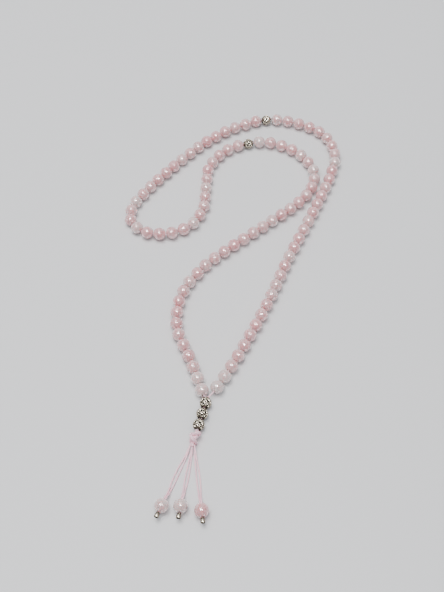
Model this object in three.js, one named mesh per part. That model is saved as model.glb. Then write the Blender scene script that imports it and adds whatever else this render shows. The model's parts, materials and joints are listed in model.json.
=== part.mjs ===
// A strand of prayer beads: rose quartz balls on one cord in three sections, with a silver divider
// between sections. The cord's two ends run through three silver beads into a knot, and three short
// tails hang from the knot, each with a quartz bead and a silver end.
// It lies flat on z = 0 with its tails towards -Y. Lengths are in millimetres, angles in degrees.
import * as THREE from "three";

// Each outline below goes along one piece's outside, end to end. A point is a distance from the axis,
// as a share of the piece's radius, and a place along the axis, as a share of half its length.

// Quartz beads
const BEAD_DIAMETER = 8;
const BEAD_LENGTH = 7.2;
const BEAD_OUTLINE = [[0.3, -1], [0.75, -0.73], [1, -0.28], [1, 0.28], [0.75, 0.73], [0.3, 1]];
const BEAD_BORE = 1.8;
const TAIL_BEAD_BORE = 2.5;
const BEAD_SIDES = 12;
const SECTIONS = 3;
const SECTION_BEADS = 33;

// Neighbouring beads on a straight stretch are joined end to end into one run, which turns as one.
const RUN_MOST_BEADS = 3;
const RUN_MOST_BEND = 16;

// Silver beads
const SILVER_DIAMETER = 7;
const SILVER_LENGTH = 6.6;
const SILVER_OUTLINE = [[0.57, -1], [0.86, -0.68], [1, -0.27], [1, 0.27], [0.86, 0.68], [0.57, 1]];
const SILVER_BORE = 2.8;
const SILVER_PITCH = 7.1;
const SILVER_SIDES = 12;

// Cord, knot and tails
const CORD_DIAMETER = 0.9;
const CORD_SIDES = 8;
const LANE = 0.55;
const KNOT_DIAMETER = 6;
const KNOT_LENGTH = 9;
const KNOT_OUTLINE = [
  [0, -1], [0.72, -1], [0.93, -0.6], [0.84, -0.36], [1, -0.16],
  [1, 0.22], [0.82, 0.42], [0.88, 0.66], [0.62, 1], [0, 1],
];
const KNOT_SIDES = 12;
const TAIL_SPACING = 1.25;
const TAIL_EXIT_HEIGHT = 2.4;
const TAIL_SLOPE_LENGTH = 9;
const END_DIAMETER = 2.6;
const END_LENGTH = 3;
const END_OUTLINE = [
  [0, -1], [0.7, -1], [1, -0.4], [1, 0.5], [0.8, 1], [0.5, 1], [0.4, 0.3], [0, 0.3],
];

// Clearance between pieces that touch
const GAP = 0.3;

// The three silver head beads and the knot share this straight axis.
const HEAD_MIDDLE = [-19.8, -87.8];
const HEAD_LEAN = 15;

// Each tail: how far its bead's centre is from the knot, and its lean from straight down the strand.
const TAILS = [
  { side: "left", slot: -1, reach: 38.5, lean: 22 },
  { side: "middle", slot: 0, reach: 36, lean: 8.8 },
  { side: "right", slot: 1, reach: 38, lean: -6.7 },
];

// The strand's course through the bead centres, from the head round the loop and back.
const STRAND = [
  [-20.2, -72.8], [-28.1, -50.2], [-34.5, -34.8], [-36, -20.5], [-32.6, -4], [-19.2, 16.2],
  [17.4, 47.7], [42, 68.7], [50.9, 81.2], [53.7, 96], [45.9, 111.4], [32.6, 121.2],
  [17, 124.6], [-4.9, 116.9], [-17.3, 100.3], [-19.4, 80], [-21.2, 63], [-28.6, 49.6],
  [-42, 42.7], [-57.7, 43.4], [-67.5, 52], [-67.6, 64.2], [-60.1, 77.7], [-40.8, 102.3],
  [-18.5, 125.6], [2, 139.4], [24.4, 146.9], [46.8, 142.2], [63.2, 130.8], [69.1, 112],
  [65.5, 95], [50.6, 59.2], [33.9, 23.5], [17, -17], [-3, -56.8], [-11.5, -70.8],
];

const quartz = new THREE.MeshStandardMaterial({ color: 0xe8ccd0, roughness: 0.2, metalness: 0 });
const silver = new THREE.MeshStandardMaterial({ color: 0xbab6ae, roughness: 0.35, metalness: 1 });
const cord = new THREE.MeshStandardMaterial({ color: 0xf0cfda, roughness: 0.75, metalness: 0 });

const UP = new THREE.Vector3(0, 0, 1);
const BEAD_HEIGHT = BEAD_DIAMETER / 2;
const SILVER_HEIGHT = SILVER_DIAMETER / 2;
const KNOT_HEIGHT = KNOT_DIAMETER / 2;

// A unit vector in the plane, turned clockwise from +Y.
function heading(degrees) {
  const angle = THREE.MathUtils.degToRad(degrees);
  return new THREE.Vector3(Math.sin(angle), Math.cos(angle), 0);
}

// Distance from a polygon's centre to its corners, from the distance to its flats.
function corner(flat, sides) {
  return flat / Math.cos(Math.PI / sides);
}

// An outline in millimetres, as distances to the flats and places along the axis.
function sized(outline, diameter, length, middle = 0) {
  return outline.map(([out, along]) => [(out * diameter) / 2, middle + (along * length) / 2]);
}

// A turned body. Its closed profile holds distances to the flats and places along the axis.
function turned(name, profile, sides, material) {
  const points = profile.map(([flat, along]) => new THREE.Vector2(corner(flat, sides), along));
  const mesh = new THREE.Mesh(new THREE.LatheGeometry(points, sides, Math.PI / sides), material);
  mesh.name = name;
  return mesh;
}

// A turned body with a bore from end to end.
function bored(name, outline, bore, sides, material) {
  const start = outline[0][1];
  const end = outline[outline.length - 1][1];
  return turned(name, [[bore / 2, start], ...outline, [bore / 2, end], [bore / 2, start]], sides, material);
}

// Lays a turned body's axis level along a direction, with a flat underneath.
function lay(mesh, centre, direction) {
  const across = new THREE.Vector3().crossVectors(direction, UP);
  mesh.quaternion.setFromRotationMatrix(new THREE.Matrix4().makeBasis(across, direction, UP));
  mesh.position.copy(centre);
  return mesh;
}

// One or more beads end to end on a straight bore, the middle of the row at the origin.
function beadRow(name, count, pitch, bore) {
  const outline = [];
  for (let i = 0; i < count; i++) {
    const middle = (i - (count - 1) / 2) * pitch;
    outline.push(...sized(BEAD_OUTLINE, BEAD_DIAMETER, BEAD_LENGTH, middle));
  }
  return bored(name, outline, bore, BEAD_SIDES, quartz);
}

function silverBead(name) {
  const outline = sized(SILVER_OUTLINE, SILVER_DIAMETER, SILVER_LENGTH);
  return bored(name, outline, SILVER_BORE, SILVER_SIDES, silver);
}

// A barrel-shaped knot, with its widest turn in the middle.
function knot() {
  return turned("knot", sized(KNOT_OUTLINE, KNOT_DIAMETER, KNOT_LENGTH), KNOT_SIDES, cord);
}

// The crimped silver end of a tail, with a shallow hollow in its free face.
function tailEnd(name) {
  return turned(name, sized(END_OUTLINE, END_DIAMETER, END_LENGTH), KNOT_SIDES, silver);
}

// A run of straight pieces between fixed points, for a tube with a corner at each point.
class Course extends THREE.Curve {
  constructor(points) {
    super();
    this.points = points;
  }

  getPointAt(u, target = new THREE.Vector3()) {
    const place = u * (this.points.length - 1);
    const index = Math.min(Math.round(place), this.points.length - 1);
    return target.copy(this.points[index]);
  }

  getTangentAt(u, target = new THREE.Vector3()) {
    const index = Math.round(u * (this.points.length - 1));
    const before = this.points[Math.max(index - 1, 0)];
    const after = this.points[Math.min(index + 1, this.points.length - 1)];
    return target.subVectors(after, before).normalize();
  }
}

function cordTube(name, points, width, height) {
  const outline = [];
  for (let i = 0; i < CORD_SIDES; i++) {
    const angle = ((i + 0.5) * 2 * Math.PI) / CORD_SIDES;
    const reach = corner(0.5, CORD_SIDES);
    outline.push(new THREE.Vector2(width * reach * Math.cos(angle), height * reach * Math.sin(angle)));
  }
  const geometry = new THREE.ExtrudeGeometry(new THREE.Shape(outline), {
    steps: points.length - 1,
    extrudePath: new Course(points),
  });
  const mesh = new THREE.Mesh(geometry, cord);
  mesh.name = name;
  return mesh;
}

// ---------- The strand's pieces in order: where each is, and which way its bore points ----------

const strand = new THREE.CatmullRomCurve3(
  STRAND.map(([x, y]) => new THREE.Vector3(x, y, BEAD_HEIGHT)),
  false,
  "centripetal",
);
strand.arcLengthDivisions = 2000;
const strandLength = strand.getLength();
const dividers = SECTIONS - 1;
const pitch = (strandLength - dividers * SILVER_PITCH) / (SECTIONS * SECTION_BEADS - 1);

function strandPoint(distance) {
  return strand.getPointAt(THREE.MathUtils.clamp(distance / strandLength, 0, 1));
}

function strandTangent(distance) {
  return strand.getTangentAt(THREE.MathUtils.clamp(distance / strandLength, 0, 1));
}

// Splits one section, which starts at a distance along the strand, into its runs of beads.
function sectionRuns(start) {
  const runs = [];
  for (let i = 0; i < SECTION_BEADS; i++) {
    const distance = start + i * pitch;
    const run = runs[runs.length - 1];
    if (run && run.length < RUN_MOST_BEADS) {
      const bend = strandTangent(run[0]).angleTo(strandTangent(distance));
      if (THREE.MathUtils.radToDeg(bend) <= RUN_MOST_BEND) {
        run.push(distance);
        continue;
      }
    }
    runs.push([distance]);
  }
  return runs;
}

// A run's centre is the mean of its beads' places, and its bore points from its first to its last.
function runItem(run, firstNumber) {
  const places = run.map(strandPoint);
  const centre = new THREE.Vector3();
  places.forEach((place) => centre.addScaledVector(place, 1 / run.length));
  const direction = strandTangent(run[0]);
  if (run.length > 1) direction.subVectors(places[run.length - 1], places[0]).normalize();
  const from = String(firstNumber).padStart(2, "0");
  const to = String(firstNumber + run.length - 1).padStart(2, "0");
  const name = run.length > 1 ? `beads_${from}_${to}` : `bead_${from}`;
  const mesh = beadRow(name, run.length, pitch, BEAD_BORE);
  const length = (run.length - 1) * pitch + BEAD_LENGTH;
  return { mesh, beads: run.length, length, centre, direction };
}

function strandItems() {
  const items = [];
  let distance = 0;
  let number = 1;
  for (let section = 0; section < SECTIONS; section++) {
    for (const run of sectionRuns(distance)) {
      items.push(runItem(run, number));
      number += run.length;
    }
    distance += (SECTION_BEADS - 1) * pitch + (pitch + SILVER_PITCH) / 2;
    if (section < dividers) {
      const centre = strandPoint(distance);
      const mesh = silverBead(`silver_divider_${section + 1}`);
      items.push({ mesh, beads: 0, length: SILVER_LENGTH, centre, direction: strandTangent(distance) });
      distance += (pitch + SILVER_PITCH) / 2;
    }
  }
  return items;
}

// Where the cord passes between two neighbours. A run of several beads holds it to the run's axis.
function passage(one, other) {
  const clearance = GAP / 2;
  if (one.beads > 1 && other.beads <= 1) {
    return one.exit.clone().addScaledVector(one.direction, clearance);
  }
  if (other.beads > 1 && one.beads <= 1) {
    return other.entry.clone().addScaledVector(other.direction, -clearance);
  }
  const point = one.exit.clone().add(other.entry).multiplyScalar(0.5);
  for (const { centre, direction } of [one, other, one, other, one, other]) {
    const along = direction.clone().multiplyScalar(point.clone().sub(centre).dot(direction)).add(centre);
    point.lerp(along, 0.5);
  }
  return point;
}

const items = strandItems();
for (const item of items) {
  item.entry = item.centre.clone().addScaledVector(item.direction, -item.length / 2);
  item.exit = item.centre.clone().addScaledVector(item.direction, item.length / 2);
}
const passages = items.slice(1).map((item, i) => passage(items[i], item));

// A single bead or divider lines up with the cord on both sides of it.
items.forEach((item, i) => {
  if (item.beads > 1 || i === 0 || i === items.length - 1) return;
  item.direction.subVectors(passages[i], passages[i - 1]).normalize();
});

const model = new THREE.Group();
for (const { mesh, centre, direction } of items) {
  const height = mesh.material === silver ? SILVER_HEIGHT : BEAD_HEIGHT;
  model.add(lay(mesh, centre.clone().setZ(height), direction));
}

// ---------- Head: three silver beads and the knot ----------

const headAxis = heading(HEAD_LEAN);
const headSide = new THREE.Vector3().crossVectors(headAxis, UP);
const headMiddle = new THREE.Vector3(...HEAD_MIDDLE, SILVER_HEIGHT);

// A point on the head's axis, and so far to its right.
function headPoint(along, side, height) {
  return headMiddle.clone().addScaledVector(headAxis, along).addScaledVector(headSide, side).setZ(height);
}

["lower", "middle", "upper"].forEach((place, i) => {
  const along = (i - 1) * SILVER_PITCH;
  model.add(lay(silverBead(`silver_head_${place}`), headPoint(along, 0, SILVER_HEIGHT), headAxis));
});

const headTop = SILVER_PITCH + SILVER_LENGTH / 2;
const knotTop = -headTop - GAP;
const knotBottom = knotTop - KNOT_LENGTH;
model.add(lay(knot(), headPoint((knotTop + knotBottom) / 2, 0, KNOT_HEIGHT), headAxis));

// ---------- The loop cord, from the knot round the strand and back ----------

const first = items[0];
const last = items[items.length - 1];
const cordPoints = [
  headPoint(knotTop + GAP, -LANE, SILVER_HEIGHT),
  headPoint(headTop + GAP, -LANE, SILVER_HEIGHT),
  first.entry.clone().addScaledVector(first.direction, -GAP),
  ...passages,
  last.exit.clone().addScaledVector(last.direction, GAP),
  headPoint(headTop + GAP, LANE, SILVER_HEIGHT),
  headPoint(knotTop + GAP, LANE, SILVER_HEIGHT),
];
model.add(cordTube("loop_cord", cordPoints, CORD_DIAMETER, CORD_DIAMETER));

// ---------- Tails: each is a doubled cord, on its side, that lies on the surface ----------

// A tail cord's course down or up between two heights, as distances along the tail and heights.
function slope(start, from, to) {
  return [0, 0.35, 0.65, 1].map((share) => {
    const height = THREE.MathUtils.lerp(from, to, THREE.MathUtils.smoothstep(share, 0, 1));
    return [start + share * TAIL_SLOPE_LENGTH, height];
  });
}

function tail({ side, slot, reach, lean }) {
  const group = new THREE.Group();
  group.position.copy(headPoint(knotBottom - GAP, slot * TAIL_SPACING, 0));
  group.rotation.z = THREE.MathUtils.degToRad(-lean);
  const beadAt = reach - GAP;
  const beadTop = beadAt - BEAD_LENGTH / 2 - GAP;
  const beadBottom = beadAt + BEAD_LENGTH / 2;
  const course = [
    ...slope(GAP, TAIL_EXIT_HEIGHT, CORD_DIAMETER),
    ...slope(beadTop - TAIL_SLOPE_LENGTH, CORD_DIAMETER, BEAD_HEIGHT),
    [beadBottom, BEAD_HEIGHT],
  ];
  const points = course.map(([along, height]) => new THREE.Vector3(0, -along, height));
  const down = new THREE.Vector3(0, -1, 0);
  const bead = beadRow(`tail_bead_${side}`, 1, pitch, TAIL_BEAD_BORE);
  const end = tailEnd(`tail_end_${side}`);
  const endAt = beadBottom + GAP + END_LENGTH / 2;
  group.add(cordTube(`tail_cord_${side}`, points, CORD_DIAMETER, 2 * CORD_DIAMETER));
  group.add(lay(bead, new THREE.Vector3(0, -beadAt, BEAD_HEIGHT), down));
  group.add(lay(end, new THREE.Vector3(0, -endAt, BEAD_HEIGHT), down));
  return group;
}

TAILS.forEach((each) => model.add(tail(each)));

export default model;
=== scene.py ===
import json
import math
import random

import bmesh
import bpy
import numpy as np
from mathutils import Matrix, Vector


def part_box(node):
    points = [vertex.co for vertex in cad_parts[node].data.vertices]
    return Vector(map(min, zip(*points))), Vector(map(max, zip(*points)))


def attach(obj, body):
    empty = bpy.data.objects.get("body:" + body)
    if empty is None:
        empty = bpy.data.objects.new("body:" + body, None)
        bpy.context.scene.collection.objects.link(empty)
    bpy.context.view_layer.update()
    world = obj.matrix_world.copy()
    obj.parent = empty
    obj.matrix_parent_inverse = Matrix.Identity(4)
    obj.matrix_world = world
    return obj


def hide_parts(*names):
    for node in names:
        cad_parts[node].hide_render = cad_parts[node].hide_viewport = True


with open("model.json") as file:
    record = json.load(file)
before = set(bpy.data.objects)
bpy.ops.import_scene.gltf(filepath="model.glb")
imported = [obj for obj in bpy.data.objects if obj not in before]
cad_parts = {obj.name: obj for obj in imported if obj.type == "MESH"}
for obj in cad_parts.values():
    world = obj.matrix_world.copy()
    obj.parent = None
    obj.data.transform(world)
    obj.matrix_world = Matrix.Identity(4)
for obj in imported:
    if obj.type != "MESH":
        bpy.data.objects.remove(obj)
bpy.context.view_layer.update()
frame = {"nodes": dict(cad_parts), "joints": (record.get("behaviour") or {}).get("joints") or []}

MM = 0.001
UP = Vector((0, 0, 1))
ROOT = "cord_and_knot"
SIDES = ("left", "middle", "right")

# Quartz beads. Each is a polished ball with a drilled hole whose edge is broken.
BEAD_HEIGHT = 4 * MM
BEAD_PITCH = 8.05724 * MM
BEAD_LENGTH = 7.2 * MM
BALL_RADIUS = 3.95 * MM
SMALLEST_SHARE = 0.985
HOLE_RADIUS = 0.78 * MM
TAIL_HOLE_RADIUS = 1.15 * MM
HOLE_EDGE = 0.16 * MM
SECTION_BEADS = 33

# A bead's tone goes from 0, milky, to 1, deep pink. It is random, apart from the palest beads and
# the tails'. Its random numbers and its clouding follow from its own number.
USUAL_TONE = 0.5
TONE_SPREAD = 0.16
LOWEST_TONE, HIGHEST_TONE = 0.14, 0.95
PALE_BEADS = {1: 0.2, 98: 0.12, 99: 0.05}
TAIL_TONES = {"left": 0.22, "middle": 0.16, "right": 0.72}
FIRST_TAIL_NUMBER = 101
SEED = 4100
CLOUDING_STEP = 3.7

# Silver beads. Each is a dark core under wire rings and granules, with a thick ring at each hole.
SILVER_LENGTH = 6.6 * MM
SILVER_HEIGHT = 3.5 * MM
CORE_RADIUS = 2.8 * MM
CORE_HOLE_RADIUS = 1.2 * MM
END_RING_PLACE = 2.9 * MM
END_RING_RADIUS = 1.42 * MM
END_WIRE_RADIUS = 0.34 * MM
RING_REACH = 3.0 * MM
WIRE_RADIUS = 0.26 * MM
GRANULE_REACH = 3.06 * MM
GRANULE_SHARE = 0.3
# Rows of wire rings round the ball: latitude, number of rings, and a ring's radius in millimetres
RING_ROWS = ((0, 7, 1.0), (39, 6, 0.84), (-39, 6, 0.84), (64, 4, 0.5), (-64, 4, 0.5))
# How far each silver bead is turned round its bore, in degrees
SILVER_TURNS = {
    "silver_head_upper": 12,
    "silver_head_middle": 50,
    "silver_head_lower": 78,
    "silver_divider_1": 30,
    "silver_divider_2": 5,
}

# Silver is black up to DARK_REACH from a bead's centre and rubbed bright from BRIGHT_REACH on.
# Towards the bead's ends it is darker.
DARK_REACH = 2.95 * MM
BRIGHT_REACH = 3.27 * MM
END_DARKENING_START = 2.3 * MM
END_DARKENING_LENGTH = 0.6 * MM
END_DARKENING_SHARE = 0.6

# Cord, knot and tails
CORD_RADIUS = 0.45 * MM
CORD_IN_KNOT = 1 * MM
LANE = 0.55 * MM
GAP = 0.3 * MM
TUBE_SIDES = 12
COURSE_STEPS = 5
KNOT_LENGTH = 9 * MM
KNOT_HEIGHT = 3.4 * MM
KNOT_TURN = math.radians(240)
KNOT_STRANDS = 4
KNOT_STRAND_RADIUS = 0.52 * MM
KNOT_BUNDLE = 1.76 * MM
BUNDLE_TWIST = 1.5
# How far each tail's two strands stray to its side on the floor, in millimetres
TAIL_SPREADS = {"left": (-0.9, 0.15), "middle": (-0.25, 0.55), "right": (-0.2, 0.7)}

# A joint's child is a body, and every bead's body has the name of its node.
joints = {joint["child"]: joint for joint in frame["joints"]}


def place(body):
    return Vector(joints[body]["pos_m"])


def bore(body):
    return Vector(joints[body]["axis"]).normalized()


def collection_object(name, data):
    piece = bpy.data.objects.new(name, data)
    bpy.context.scene.collection.objects.link(piece)
    return piece


def clamped(value, low=0.0, high=1.0):
    return min(max(value, low), high)


# ---------- Camera ----------

camera_data = bpy.data.cameras.new("photo_camera")
camera_data.lens = 54.73
camera_data.sensor_width = 36
camera_data.clip_start = 0.01
camera = collection_object("photo_camera", camera_data)
camera.location = (-0.00869, -0.32661, 0.45285)
camera.rotation_euler = (math.radians(35.44), 0, 0)
bpy.context.scene.camera = camera


# ---------- Node helpers and materials ----------


class Shader:
    """One material's node tree, with short calls to add a node and to join sockets."""

    def __init__(self, name):
        self.material = bpy.data.materials.new(name)
        self.material.use_nodes = True
        self.nodes = self.material.node_tree.nodes
        self.links = self.material.node_tree.links
        self.surface = self.nodes["Principled BSDF"]

    def feed(self, socket, value):
        """Gives a socket a fixed value, or joins another node's output to it."""
        if isinstance(value, bpy.types.NodeSocket):
            self.links.new(value, socket)
        else:
            socket.default_value = value

    def add(self, kind, inputs=None, **settings):
        node = self.nodes.new(kind)
        for key, value in settings.items():
            setattr(node, key, value)
        for key, value in (inputs or {}).items():
            self.feed(node.inputs[key], value)
        return node

    def maths(self, operation, *values, clamp=False):
        inputs = dict(enumerate(values))
        return self.add("ShaderNodeMath", inputs, operation=operation, use_clamp=clamp).outputs[0]

    def noise(self, vector, scale, detail, roughness, distortion=0.0, seed=None):
        """Fractal noise, in a different pattern for each value of a seed if there is one."""
        inputs = {"Vector": vector, "Scale": scale, "Detail": detail, "Roughness": roughness}
        inputs["Distortion"] = distortion
        if seed is None:
            return self.add("ShaderNodeTexNoise", inputs).outputs["Fac"]
        inputs["W"] = seed
        return self.add("ShaderNodeTexNoise", inputs, noise_dimensions="4D").outputs["Fac"]

    def ramp(self, factor, *stops):
        node = self.add("ShaderNodeValToRGB", {"Fac": factor})
        elements = node.color_ramp.elements
        while len(elements) < len(stops):
            elements.new(0.5)
        for element, (position, colour) in zip(elements, stops):
            element.position = position
            element.color = (*colour, 1)
        return node.outputs["Color"]

    def attribute(self, name):
        return self.add("ShaderNodeAttribute", attribute_name=name).outputs["Fac"]

    def set(self, **values):
        for key, value in values.items():
            self.feed(self.surface.inputs[key.replace("_", " ")], value)

    def bump(self, height, strength, distance):
        node = self.add("ShaderNodeBump", {"Strength": strength, "Distance": distance, "Height": height})
        self.links.new(node.outputs["Normal"], self.surface.inputs["Normal"])


def quartz_material():
    """Milky rose quartz: clouding and thin pale wisps in a bead's own tone, under a glassy polish."""
    shader = Shader("rose_quartz")
    position = shader.add("ShaderNodeTexCoord").outputs["Object"]
    seed = shader.attribute("seed")
    veils = shader.noise(position, 210, 5, 0.6, distortion=1.2, seed=seed)
    specks = shader.noise(position, 1500, 2, 0.5, seed=seed)
    streaks = shader.noise(position, 190, 4, 0.55, distortion=1.6, seed=seed)

    # A wisp runs wherever the streaks are close to their middle value.
    off_wisp = shader.maths("ABSOLUTE", shader.maths("SUBTRACT", streaks, 0.5))
    wisp = shader.maths("SUBTRACT", 1.0, shader.maths("MULTIPLY", off_wisp, 15), clamp=True)
    cloud = shader.maths("MULTIPLY_ADD", veils, 0.8, -0.39)
    clouded = shader.maths("ADD", shader.attribute("tone"), cloud)
    tone = shader.maths("SUBTRACT", clouded, shader.maths("MULTIPLY", wisp, 0.18), clamp=True)
    colour = shader.ramp(
        tone,
        (0.0, (0.71, 0.59, 0.57)),
        (0.45, (0.725, 0.44, 0.44)),
        (1.0, (0.715, 0.345, 0.365)),
    )
    shader.set(
        Base_Color=colour,
        Roughness=0.12,
        IOR=1.54,
        Coat_Weight=0.5,
        Coat_Roughness=0.12,
        Subsurface_Weight=1.0,
        Subsurface_Radius=(1.0, 0.72, 0.70),
        Subsurface_Scale=2.0 * MM,
        Transmission_Weight=0.16,
    )
    shader.bump(specks, 0.015, 0.05 * MM)
    return shader.material


def silver_material():
    """Antique silver: rubbed bright, blackened in hollows, and painted shade inside the tail ends."""
    shader = Shader("antique_silver")
    position = shader.add("ShaderNodeTexCoord").outputs["Object"]
    mottle = shader.noise(position, 1400, 4, 0.65)
    uneven = shader.maths("MULTIPLY_ADD", mottle, 0.35, -0.175)
    level = shader.maths("ADD", shader.attribute("wear_and_shade"), uneven, clamp=True)
    colour = shader.ramp(
        level,
        (0.0, (0.006, 0.005, 0.004)),
        (0.35, (0.02, 0.017, 0.013)),
        (0.65, (0.15, 0.13, 0.10)),
        (1.0, (0.60, 0.54, 0.44)),
    )
    rough = shader.add("ShaderNodeMapRange", {"Value": level, "To Min": 0.62, "To Max": 0.2})
    shader.set(
        Base_Color=colour,
        Metallic=1.0,
        Roughness=rough.outputs["Result"],
        Specular_Tint=(0.6, 0.55, 0.47, 1),
    )
    shader.bump(mottle, 0.25, 0.08 * MM)
    return shader.material


def cord_material():
    """Pink satin cord: fine threads braided both ways round it, with a soft sheen."""
    threads_round = 5
    braid_pitch = 1.1
    shader = Shader("satin_cord")
    uv = shader.add("ShaderNodeUVMap", uv_map="cord_uv").outputs["UV"]
    parts = shader.add("ShaderNodeSeparateXYZ", {"Vector": uv})
    around = shader.maths("MULTIPLY", parts.outputs["X"], 2 * math.pi * threads_round)
    along = shader.maths("MULTIPLY", parts.outputs["Y"], 2 * math.pi / braid_pitch)
    right = shader.maths("SINE", shader.maths("ADD", around, along))
    left = shader.maths("SINE", shader.maths("SUBTRACT", around, along))
    height = shader.maths("MULTIPLY_ADD", shader.maths("MAXIMUM", right, left), 0.5, 0.5)
    fibres = shader.noise(uv, 9, 3, 0.6)
    # Painted shade: darker in the braid's grooves, lighter on its crests, over the fibres' own mottle.
    level = shader.maths("MULTIPLY_ADD", fibres, 0.6, shader.maths("MULTIPLY", height, 0.5))
    colour = shader.ramp(
        level,
        (0.1, (0.66, 0.27, 0.34)),
        (0.5, (0.95, 0.53, 0.62)),
        (1.0, (1.0, 0.71, 0.78)),
    )
    shader.set(
        Base_Color=colour,
        Roughness=0.48,
        Sheen_Weight=0.35,
        Sheen_Roughness=0.4,
        Subsurface_Weight=0.25,
        Subsurface_Radius=(1.0, 0.6, 0.6),
        Subsurface_Scale=0.5 * MM,
    )
    shader.bump(height, 0.5, 0.07 * MM)
    return shader.material


quartz = quartz_material()
silver = silver_material()
satin = cord_material()


# ---------- Mesh helpers ----------


def point_attribute(mesh, name, values):
    mesh.attributes.new(name, "FLOAT", "POINT").data.foreach_set("value", values)


def finish_mesh(form, name, material):
    bmesh.ops.recalc_face_normals(form, faces=form.faces)
    mesh = bpy.data.meshes.new(name)
    form.to_mesh(mesh)
    form.free()
    mesh.polygons.foreach_set("use_smooth", [True] * len(mesh.polygons))
    mesh.materials.append(material)
    return mesh


def join_rings(form, rings):
    """Joins each ring of vertices to the next, and the last to the first, as a closed surface."""
    for ring, following in zip(rings, rings[1:] + rings[:1]):
        for k in range(len(ring)):
            after = (k + 1) % len(ring)
            form.faces.new((ring[k], following[k], following[after], ring[after]))


def revolve(form, profile, segments):
    """Revolves a closed profile of (distance from the axis, place along Z) round the Z axis."""
    rings = []
    for i in range(segments):
        angle = 2 * math.pi * i / segments
        rings.append([form.verts.new((r * math.cos(angle), r * math.sin(angle), z)) for r, z in profile])
    join_rings(form, rings)


def ball_outline(radius, hole, steps):
    """A ball's outline beside the Z axis, from the edge of its lower hole to that of its upper one."""
    start = math.asin(hole / radius)
    outline = []
    for i in range(steps + 1):
        angle = start + (math.pi - 2 * start) * i / steps
        outline.append((radius * math.sin(angle), -radius * math.cos(angle)))
    return outline


def smooth_course(points, steps):
    """A centripetal Catmull-Rom curve through the points, with so many steps to each span."""
    ends = [2 * points[0] - points[1], *points, 2 * points[-1] - points[-2]]
    course = [points[0].copy()]
    for a, b, c, d in zip(ends, ends[1:], ends[2:], ends[3:]):
        t1 = math.sqrt((b - a).length)
        t2 = t1 + math.sqrt((c - b).length)
        t3 = t2 + math.sqrt((d - c).length)
        for k in range(1, steps + 1):
            t = t1 + (t2 - t1) * k / steps
            ab = a + (b - a) * (t / t1)
            bc = b + (c - b) * ((t - t1) / (t2 - t1))
            cd = c + (d - c) * ((t - t2) / (t3 - t2))
            abc = ab + (bc - ab) * (t / t2)
            bcd = bc + (cd - bc) * ((t - t1) / (t3 - t1))
            course.append(abc + (bcd - abc) * ((t - t1) / (t2 - t1)))
    return course


def carried_frames(course, side):
    """Two directions square to the course at each point, carried along it without twist."""
    frames = []
    across = side
    for i in range(len(course)):
        along = (course[min(i + 1, len(course) - 1)] - course[max(i - 1, 0)]).normalized()
        across = (across - along * across.dot(along)).normalized()
        frames.append((across, along.cross(across)))
    return frames


def add_tube(form, course, radius, side=UP):
    """A round tube with low pointed ends, and its UVs: turns round it, millimetres along it."""
    layer = form.loops.layers.uv.get("cord_uv") or form.loops.layers.uv.new("cord_uv")
    rings = []
    distances = [0.0]
    for before, after in zip(course, course[1:]):
        distances.append(distances[-1] + (after - before).length / MM)
    for centre, (across, up) in zip(course, carried_frames(course, side)):
        ring = []
        for k in range(TUBE_SIDES):
            angle = 2 * math.pi * k / TUBE_SIDES
            ring.append(form.verts.new(centre + (across * math.cos(angle) + up * math.sin(angle)) * radius))
        rings.append(ring)
    for i in range(len(rings) - 1):
        for k in range(TUBE_SIDES):
            after = (k + 1) % TUBE_SIDES
            face = form.faces.new((rings[i][k], rings[i][after], rings[i + 1][after], rings[i + 1][k]))
            corners = ((k, i), (k + 1, i), (k + 1, i + 1), (k, i + 1))
            for loop, (turns, station) in zip(face.loops, corners):
                loop[layer].uv = (turns / TUBE_SIDES, distances[station])
    for ring, inwards in ((rings[0], course[1] - course[0]), (rings[-1], course[-2] - course[-1])):
        centre = sum((v.co for v in ring), Vector()) / TUBE_SIDES
        tip = form.verts.new(centre - inwards.normalized() * radius * 0.5)
        for k in range(TUBE_SIDES):
            form.faces.new((ring[k], ring[(k + 1) % TUBE_SIDES], tip))


def cord_piece(name, course, body, nodes):
    form = bmesh.new()
    add_tube(form, course, CORD_RADIUS)
    piece = collection_object(name, finish_mesh(form, name, satin))
    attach(piece, body)
    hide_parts(*nodes)
    return piece


def set_on_bore(piece, centre, direction, angle=0.0):
    """Puts a piece that is built round Z on a bore, turned round it by an angle in radians."""
    across = direction.cross(UP).normalized()
    upright = across.cross(direction)
    turned = Matrix((across, upright, direction)).transposed().to_4x4()
    piece.data.transform(turned @ Matrix.Rotation(angle, 4, "Z"))
    piece.location = centre


# ---------- The strand's pieces in order ----------


class Item:
    """A run of beads, or a silver divider, on a straight bore."""

    def __init__(self, node):
        self.node = node
        numbers = [int(part) for part in node.split("_")[1:] if part.isdigit()]
        if node.startswith("silver"):
            self.first = numbers[0] * SECTION_BEADS + 0.5
            self.count = 0
            self.length = SILVER_LENGTH
        else:
            self.first = numbers[0]
            self.count = numbers[-1] - numbers[0] + 1
            self.length = (self.count - 1) * BEAD_PITCH + BEAD_LENGTH
        self.centre = place(node)
        self.centre.z = BEAD_HEIGHT
        self.direction = bore(node)
        self.entry = self.centre - self.direction * self.length / 2
        self.exit = self.centre + self.direction * self.length / 2


def on_strand(node):
    return node.startswith(("bead_", "beads_", "silver_divider"))


items = sorted((Item(node) for node in frame["nodes"] if on_strand(node)), key=lambda item: item.first)


def passage(one, other):
    """Where the cord passes between two neighbours, as in the CAD."""
    if one.count > 1 and other.count <= 1:
        return one.exit + one.direction * GAP / 2
    if other.count > 1 and one.count <= 1:
        return other.entry - other.direction * GAP / 2
    point = (one.exit + other.entry) / 2
    for item in (one, other) * 3:
        along = item.centre + item.direction * (point - item.centre).dot(item.direction)
        point = point.lerp(along, 0.5)
    return point


# ---------- Cords ----------

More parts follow.
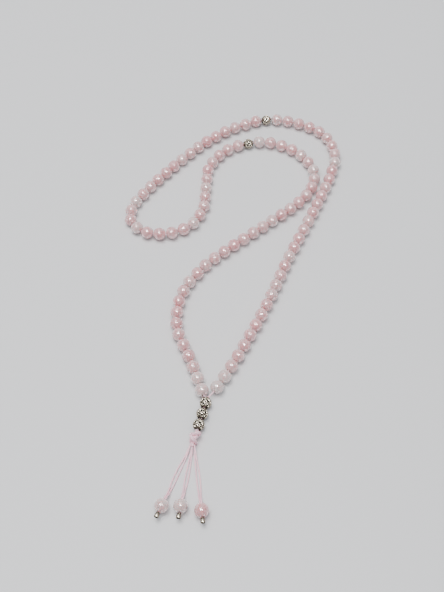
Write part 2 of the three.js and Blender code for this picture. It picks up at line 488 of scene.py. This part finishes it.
# Places on the head are distances along its axis, upwards from its middle silver bead.
head_axis = bore("silver_head_middle")
head_side = head_axis.cross(UP)
head_middle = place("silver_head_middle")
head_spacing = (place("silver_head_upper") - head_middle).length
head_top = head_spacing + SILVER_LENGTH / 2
knot_top = -head_top - GAP
knot_centre = knot_top - KNOT_LENGTH / 2


def head_point(along, side, height):
    point = head_middle + head_axis * along + head_side * side
    point.z = height
    return point


first, last = items[0], items[-1]
loop_points = [
    head_point(knot_top - CORD_IN_KNOT, -LANE, SILVER_HEIGHT),
    head_point(0, -LANE, SILVER_HEIGHT),
    head_point(head_top + GAP, -LANE, SILVER_HEIGHT),
    first.entry - first.direction * GAP,
]
for one, other in zip(items, items[1:]):
    if one.count > 1:
        loop_points.append(one.centre)
    loop_points.append(passage(one, other))
loop_points += [
    last.exit + last.direction * GAP,
    head_point(head_top + GAP, LANE, SILVER_HEIGHT),
    head_point(0, LANE, SILVER_HEIGHT),
    head_point(knot_top - CORD_IN_KNOT, LANE, SILVER_HEIGHT),
]
loop_course = smooth_course(loop_points, COURSE_STEPS)
loop_cord = cord_piece("strand_cord", loop_course, ROOT, ["loop_cord"])


class Tail:
    """One tail's line in plan, from its pivot under the knot to its bead."""

    def __init__(self, side):
        self.side = side
        self.body = f"tail_{side}"
        self.pivot = place(self.body)
        self.pivot.z = 0
        self.bead = place(f"tail_bead_{side}")
        plan = Vector((self.bead.x, self.bead.y, 0)) - self.pivot
        self.reach = plan.length
        self.down = plan.normalized()
        self.across = UP.cross(self.down)

    def point(self, along, side, height):
        """A point given in millimetres along the tail from its pivot, to its side, and up."""
        return self.pivot + self.down * along * MM + self.across * side * MM + Vector((0, 0, height * MM))


def tail_strand(tail, way, spread):
    """One of a tail's two strands: it leaves the knot above or below its twin, and lies beside it."""
    at = tail.reach / MM
    bore_height = BEAD_HEIGHT / MM
    rest = CORD_RADIUS / MM + 0.02
    beside = 0.47 * way
    return [
        tail.point(-0.7, 0.0, 2.42 + 0.45 * way),
        tail.point(0.2, 0.06 * way, 2.35 + 0.45 * way),
        tail.point(3.0, 0.25 * way, 1.75 + 0.36 * way),
        tail.point(6.2, 0.45 * way, 0.8 + 0.12 * way),
        tail.point(9.6, 0.5 * way + 0.3 * spread, rest),
        tail.point(15.0, 0.5 * way + 0.8 * spread, rest),
        tail.point(at - 15.5, 0.55 * way + 0.7 * spread, rest),
        tail.point(at - 11.6, 0.5 * way + 0.3 * spread, rest + 0.15),
        tail.point(at - 8.2, beside, 1.55),
        tail.point(at - 5.6, beside, 3.25),
        tail.point(at - 3.9, beside, 3.95),
        tail.point(at, beside, bore_height),
        tail.point(at + 4.6, beside * 0.9, bore_height),
    ]


tails = [Tail(side) for side in SIDES]
tail_cords = {}
for tail in tails:
    for way, spread, label in zip((-1, 1), TAIL_SPREADS[tail.side], ("a", "b")):
        course = smooth_course(tail_strand(tail, way, spread), COURSE_STEPS)
        name = f"tail_strand_{tail.side}_{label}"
        piece = cord_piece(name, course, tail.body, [f"tail_cord_{tail.side}"])
        tail_cords[tail.side, label] = (piece, course)


# ---------- Quartz beads ----------


def bead_profile(radius, hole):
    """A closed profile: the ball's outside from hole to hole, then back along the drilled bore."""
    bore_steps = 6
    outside = ball_outline(radius, hole + HOLE_EDGE, steps=24)
    top = outside[-1][1]
    bevel, bevel_end = hole + HOLE_EDGE * 0.3, top - HOLE_EDGE * 0.3
    bore_end = top - HOLE_EDGE * 0.95
    inside = [(hole, bore_end * (1 - 2 * i / bore_steps)) for i in range(bore_steps + 1)]
    return [*outside, (bevel, bevel_end), *inside, (bevel, -bevel_end)]


def quartz_bead(name, number, centre, body, node, hole=HOLE_RADIUS, tone=None):
    """One bead, of a random size and turn, and of a random tone unless it is given one."""
    chance = random.Random(SEED + number)
    radius = BALL_RADIUS * chance.uniform(SMALLEST_SHARE, 1.0)
    form = bmesh.new()
    revolve(form, bead_profile(radius, hole), segments=40)
    mesh = finish_mesh(form, name, quartz)
    if tone is None:
        tone = clamped(chance.gauss(USUAL_TONE, TONE_SPREAD), LOWEST_TONE, HIGHEST_TONE)
    point_attribute(mesh, "tone", [tone] * len(mesh.vertices))
    point_attribute(mesh, "seed", [number * CLOUDING_STEP] * len(mesh.vertices))
    piece = collection_object(name, mesh)
    set_on_bore(piece, centre, bore(body), chance.uniform(0, 2 * math.pi))
    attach(piece, body)
    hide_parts(node)
    return piece


for item in items:
    for i in range(item.count):
        number = item.first + i
        centre = item.centre + item.direction * BEAD_PITCH * (i - (item.count - 1) / 2)
        name = f"quartz_{number:02d}"
        tone = PALE_BEADS.get(number)
        quartz_bead(name, number, centre, item.node, item.node, tone=tone)

for number, tail in enumerate(tails, FIRST_TAIL_NUMBER):
    name = f"quartz_tail_{tail.side}"
    node = f"tail_bead_{tail.side}"
    tone = TAIL_TONES[tail.side]
    bead = quartz_bead(name, number, tail.bead, node, node, hole=TAIL_HOLE_RADIUS, tone=tone)


# ---------- Silver beads ----------


def add_granule(form, centre, radius):
    made = bmesh.ops.create_icosphere(form, subdivisions=2, radius=radius)
    bmesh.ops.translate(form, verts=made["verts"], vec=centre)


def add_ring(form, centre, normal, radius, wire, segments):
    """A ring of round wire. The wire's own radius is wire."""
    sides = 8
    normal = normal.normalized()
    across = normal.orthogonal().normalized()
    up = normal.cross(across)
    rings = []
    for i in range(segments):
        angle = 2 * math.pi * i / segments
        out = across * math.cos(angle) + up * math.sin(angle)
        ring = []
        for k in range(sides):
            wire_angle = 2 * math.pi * k / sides
            reach = radius + wire * math.cos(wire_angle)
            offset = out * reach + normal * wire * math.sin(wire_angle)
            ring.append(form.verts.new(centre + offset))
        rings.append(ring)
    join_rings(form, rings)


def outwards(latitude, longitude):
    lat, lon = math.radians(latitude), math.radians(longitude)
    return Vector((math.cos(lat) * math.cos(lon), math.cos(lat) * math.sin(lon), math.sin(lat)))


def silver_form():
    """An openwork ball with its bore along Z."""
    form = bmesh.new()
    revolve(form, ball_outline(CORE_RADIUS, CORE_HOLE_RADIUS, steps=14), segments=32)
    for end in (-1, 1):
        add_ring(form, UP * end * END_RING_PLACE, UP, END_RING_RADIUS, END_WIRE_RADIUS, segments=28)
    for latitude, count, size in RING_ROWS:
        start = 0.5 if latitude else 0
        for k in range(count):
            out = outwards(latitude, 360 * (k + start) / count)
            add_ring(form, out * RING_REACH, out, size * MM, WIRE_RADIUS, segments=16)
            between = outwards(latitude * 1.02, 360 * (k + 0.5 + start) / count)
            add_granule(form, between * GRANULE_REACH, GRANULE_SHARE * size * MM)
    return form


def bead_wear(mesh):
    """How rubbed each point is, the further out of the ball the brighter, and darker towards the ends."""
    values = []
    for vertex in mesh.vertices:
        rubbed = clamped((vertex.co.length - DARK_REACH) / (BRIGHT_REACH - DARK_REACH))
        endwards = clamped((abs(vertex.co.z) - END_DARKENING_START) / END_DARKENING_LENGTH)
        values.append(rubbed * (1 - END_DARKENING_SHARE * endwards))
    return values


def silver_bead(name, node, degrees):
    mesh = finish_mesh(silver_form(), name, silver)
    point_attribute(mesh, "wear_and_shade", bead_wear(mesh))
    piece = collection_object(name, mesh)
    set_on_bore(piece, place(node), bore(node), math.radians(degrees))
    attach(piece, node)
    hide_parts(node)


for node, degrees in SILVER_TURNS.items():
    silver_bead(node.replace("silver", "filigree"), node, degrees)


# ---------- Tail ends ----------


def tail_end(tail):
    """A small silver cone that grips the cord's end, its open mouth outwards."""
    mouth_radius = 0.85
    profile = [
        (0.62, -1.5), (0.86, -1.5), (0.95, -1.38), (0.86, -1.22), (1.02, -0.95), (1.2, -0.45),
        (1.29, 0.1), (1.3, 0.55), (1.27, 0.95), (1.2, 1.28), (1.1, 1.46), (0.98, 1.5),
        (0.88, 1.42), (0.82, 1.2), (0.7, 0.3), (0.3, 0.1), (0.3, -0.2), (0.62, -0.4),
    ]
    name = f"silver_tip_{tail.side}"
    form = bmesh.new()
    revolve(form, [(r * MM, z * MM) for r, z in profile], segments=28)
    mesh = finish_mesh(form, name, silver)
    # Painted shade: within mouth_radius of the axis, in the mouth and the hole, the silver is near black.
    values = []
    for vertex in mesh.vertices:
        out = math.hypot(vertex.co.x, vertex.co.y) / MM - mouth_radius
        values.append(0.02 if out < 0 else min(0.45 + out * 0.8, 0.8))
    point_attribute(mesh, "wear_and_shade", values)
    piece = collection_object(name, mesh)
    lowest, highest = (Vector(corner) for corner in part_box(f"tail_end_{tail.side}"))
    centre = (lowest + highest) / 2
    centre.z = BEAD_HEIGHT
    set_on_bore(piece, centre, tail.down)
    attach(piece, tail.body)
    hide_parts(f"tail_end_{tail.side}")
    return piece


for tail in tails:
    tip = tail_end(tail)
    for label in ("a", "b"):
        piece, course = tail_cords[tail.side, label]


# ---------- Knot ----------


def loose_knot(bundle, ends, wraps, nodes):
    """An open knot's centre line along Z: down the middle, up round it so many times, and down again."""
    inner = 0.55 * bundle
    outer = 1.75 * bundle
    reach = 0.55 * bundle * wraps + 0.6 * bundle
    easing = 0.12
    line = []
    for z in np.linspace(ends, -reach, 40):
        line.append((-inner * min(1, (ends - z) / bundle), 0, z))
    steps = 60 * wraps
    for i in range(1, steps):
        share = i / steps
        angle = math.pi + math.pi * (2 * wraps + 1) * share
        edge = min(1, share / easing, (1 - share) / easing)
        radius = inner + (outer - inner) * math.sin(edge * math.pi / 2)
        line.append((radius * math.cos(angle), radius * math.sin(angle), reach * (2 * share - 1)))
    for z in np.linspace(reach, -ends, 40):
        line.append((inner * min(1, (z + ends) / bundle), 0, z))
    line = np.array(line)
    lengths = np.linalg.norm(np.diff(line, axis=0), axis=1)
    stations = np.concatenate([[0], np.cumsum(lengths)])
    even = np.linspace(0, stations[-1], nodes)
    return np.stack([np.interp(even, stations, line[:, k]) for k in range(3)], axis=1)


def tighten(line, bundle, ends, rounds=2200):
    """Pulls a knot tight: shortens it while its turns push each other a bundle's width apart."""
    pulling_rounds = rounds * 0.85
    shortening = 0.9985
    most_pressed = 0.04 * bundle
    smoothing = 0.1
    nodes = len(line)
    index = np.arange(nodes)
    apart = np.abs(index[:, None] - index[None])
    spacing = np.linalg.norm(np.diff(line, axis=0), axis=1).mean()
    for step in range(rounds):
        difference = line[:, None] - line[None]
        distance = np.linalg.norm(difference, axis=2) + 1e-9
        near = (distance < bundle) & (apart * spacing > bundle * 1.5)
        pressed = (bundle - distance[near]).max() if near.any() else 0
        if pressed < most_pressed and step < pulling_rounds:
            spacing *= shortening

        # The turns push each other apart, and the line smooths itself.
        push = np.where(near, (bundle - distance) / distance * 0.5, 0)
        line = line + (difference * push[:, :, None]).sum(axis=1) / np.maximum(near.sum(axis=1), 1)[:, None]
        line[1:-1] += ((line[:-2] + line[2:]) / 2 - line[1:-1]) * smoothing

        # Neighbouring points go back to their spacing, between ends that stay on the axis.
        for _ in range(3):
            line[0] = (0, 0, ends)
            line[-1] = (0, 0, -ends)
            for start in (0, 1):
                one = np.arange(start, nodes - 1, 2)
                gap = line[one + 1] - line[one]
                move = gap * (0.5 * (1 - spacing / np.linalg.norm(gap, axis=1, keepdims=True)))
                line[one] += move
                line[one + 1] -= move
        line[0] = (0, 0, ends)
        line[-1] = (0, 0, -ends)

        # The points next to the ends are drawn in towards the axis.
        line[1, :2] *= 0.3
        line[-2, :2] *= 0.3
    return line


def knot_piece():
    """The knot: four strands side by side, tied together in a double overhand knot and pulled tight."""
    side = Vector((1, 0, 0))
    half = KNOT_LENGTH / MM / 2
    bundle = KNOT_BUNDLE / MM
    line = tighten(loose_knot(bundle, ends=2 * half, wraps=2, nodes=130), bundle, half)
    centre_line = smooth_course([Vector(point) * MM for point in line], steps=2)
    frames = carried_frames(centre_line, side)
    form = bmesh.new()
    for strand in range(KNOT_STRANDS):
        start = 2 * math.pi * (strand + 0.5) / KNOT_STRANDS
        course = []
        for i, (centre, (across, up)) in enumerate(zip(centre_line, frames)):
            angle = start + BUNDLE_TWIST * i / len(centre_line)
            offset = across * math.cos(angle) + up * math.sin(angle)
            course.append(centre + offset * KNOT_BUNDLE / 4)
        add_tube(form, course, KNOT_STRAND_RADIUS, side)
    piece = collection_object("tied_knot", finish_mesh(form, "tied_knot", satin))
    set_on_bore(piece, head_point(knot_centre, 0, KNOT_HEIGHT), head_axis, KNOT_TURN)
    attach(piece, ROOT)
    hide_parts("knot")


knot_piece()


# ---------- Floor and lights ----------


def floor():
    shader = Shader("pale_table")
    shader.set(Base_Color=(0.66, 0.66, 0.665, 1), Roughness=0.65)
    mesh = bpy.data.meshes.new("table_top")
    reach = 3
    level = -0.02 * MM
    corners = [(-reach, -reach, level), (reach, -reach, level), (reach, reach, level), (-reach, reach, level)]
    mesh.from_pydata(corners, [], [(0, 1, 2, 3)])
    mesh.materials.append(shader.material)
    collection_object("table_top", mesh)


def area_light(name, location, width, depth, power):
    """A rectangular light that faces the middle of the scene."""
    data = bpy.data.lights.new(name, "AREA")
    data.shape = "RECTANGLE"
    data.size = width
    data.size_y = depth
    data.energy = power
    light = collection_object(name, data)
    light.location = location
    light.rotation_euler = (-Vector(location)).to_track_quat("-Z", "Y").to_euler()
    return light


def glint(light):
    """Keeps a light to its reflections, so that it gives the polish its highlights and nothing else."""
    light.visible_diffuse = False
    light.visible_transmission = False


def studio_world():
    world = bpy.data.worlds.new("studio")
    world.use_nodes = True
    background = world.node_tree.nodes["Background"]
    background.inputs["Color"].default_value = (0.93, 0.95, 1.0, 1)
    background.inputs["Strength"].default_value = 0.74
    bpy.context.scene.world = world


floor()
area_light("overhead_window", (-0.25, 0.2, 1.4), width=0.9, depth=0.9, power=24)
glint(area_light("glint", (-0.04, -0.39, 1.25), width=1.0, depth=0.28, power=72))
studio_world()
